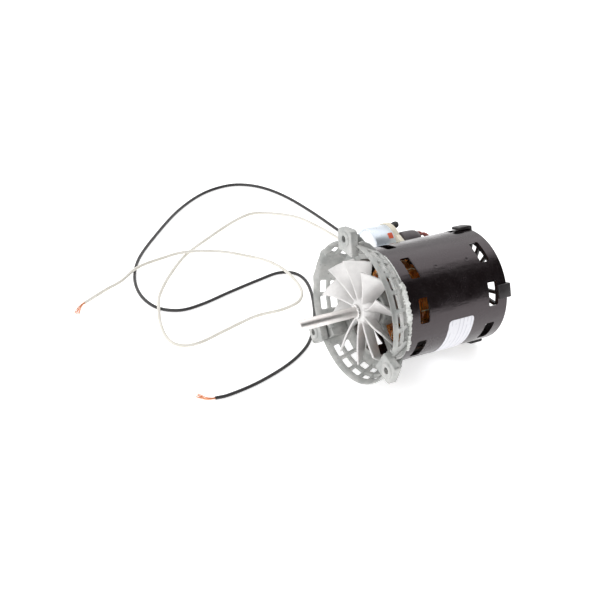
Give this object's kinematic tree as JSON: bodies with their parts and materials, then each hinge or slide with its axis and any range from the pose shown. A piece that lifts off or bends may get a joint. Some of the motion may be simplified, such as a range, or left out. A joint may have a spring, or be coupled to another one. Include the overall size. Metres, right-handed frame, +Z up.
{
  "type": "combustion blower motor",
  "caption": "Combustion blower motor with a windowed die-cast bracket, a cooling fan on its shaft, a capacitor beside the slotted black shell and two loose leads.",
  "frame": {"origin": "centre of the underside of the motor's box without its leads, on the surface that the motor lies on", "axes": "+Y toward the motor's rear end, with the bare shaft toward -Y; +Z up; the capacitor and the leads are on the -X side"},
  "size_m": [0.346, 0.2635, 0.1169],
  "materials": {
    "cast_aluminium": "as-cast, satin",
    "black_paint": "gloss black",
    "steel": "ground and polished",
    "lamination_steel": "dark, stacked sheet",
    "enamelled_wire": "varnished copper wire",
    "fan_nylon": "off-white moulded",
    "cage_brass": "satin",
    "can_aluminium": "drawn, smooth",
    "capacitor_film": "wound film",
    "clamp_plastic": "cream moulded",
    "zinc_plate": "zinc plated",
    "boot_rubber": "dark grey",
    "black_rubber": "black",
    "mark_red": "flat orange-red",
    "brown_insulation": "reddish brown",
    "black_insulation": "black, smooth",
    "white_insulation": "white, smooth",
    "bare_copper": "bare stranded copper",
    "label_paper": "plain white"
  },
  "bodies": {
    "motor_frame": {"front_bracket": "cast_aluminium", "shell": "black_paint", "rear_endshield": "black_paint", "front_bearing_outer": "steel", "rear_bearing_outer": "steel", "wave_washer": "steel", "through_bolt_1": "steel", "through_bolt_2": "steel", "through_bolt_3": "steel", "through_bolt_4": "steel", "stator_core": "lamination_steel", "stator_winding": "enamelled_wire", "capacitor_can": "can_aluminium", "capacitor_roll": "capacitor_film", "capacitor_clamp": "clamp_plastic", "capacitor_plate": "zinc_plate", "capacitor_boot": "boot_rubber", "capacitor_lid": "boot_rubber", "terminal_knob": "black_rubber", "lead_grommet": "black_rubber", "capacitor_mark": "mark_red", "jumper_wire_1": "brown_insulation", "jumper_wire_2": "brown_insulation", "black_lead": "black_insulation", "white_lead": "white_insulation", "black_lead_copper": "bare_copper", "white_lead_copper": "bare_copper", "rating_label": "label_paper"},
    "rotor": {"shaft": "steel", "rotor_core": "lamination_steel", "rotor_ring_front": "cast_aluminium", "rotor_ring_rear": "cast_aluminium", "fan": "fan_nylon", "fan_collar": "steel", "front_snap_ring": "steel", "rear_snap_ring": "steel", "front_bearing_inner": "steel", "rear_bearing_inner": "steel"},
    "front_cage": {"front_bearing_cage": "cage_brass"},
    "rear_cage": {"rear_bearing_cage": "cage_brass"}
  },
  "joints": [
    {"name": "rotor_spin", "type": "hinge", "parent": "motor_frame", "child": "rotor", "pos_m": [0.0041, -0.03545, 0.05255], "axis": [0, 0.9962, -0.0869], "continuous": true},
    {"name": "front_cage_spin", "type": "hinge", "parent": "motor_frame", "child": "front_cage", "pos_m": [0.0041, -0.03545, 0.05255], "axis": [0, 0.9962, -0.0869], "continuous": true},
    {"name": "rear_cage_spin", "type": "hinge", "parent": "motor_frame", "child": "rear_cage", "pos_m": [0.0041, -0.03545, 0.05255], "axis": [0, 0.9962, -0.0869], "continuous": true}
  ],
  "couplings": [
    {"joint": "front_cage_spin", "follows": "rotor_spin", "ratio": 0.4},
    {"joint": "rear_cage_spin", "follows": "rotor_spin", "ratio": 0.4}
  ]
}
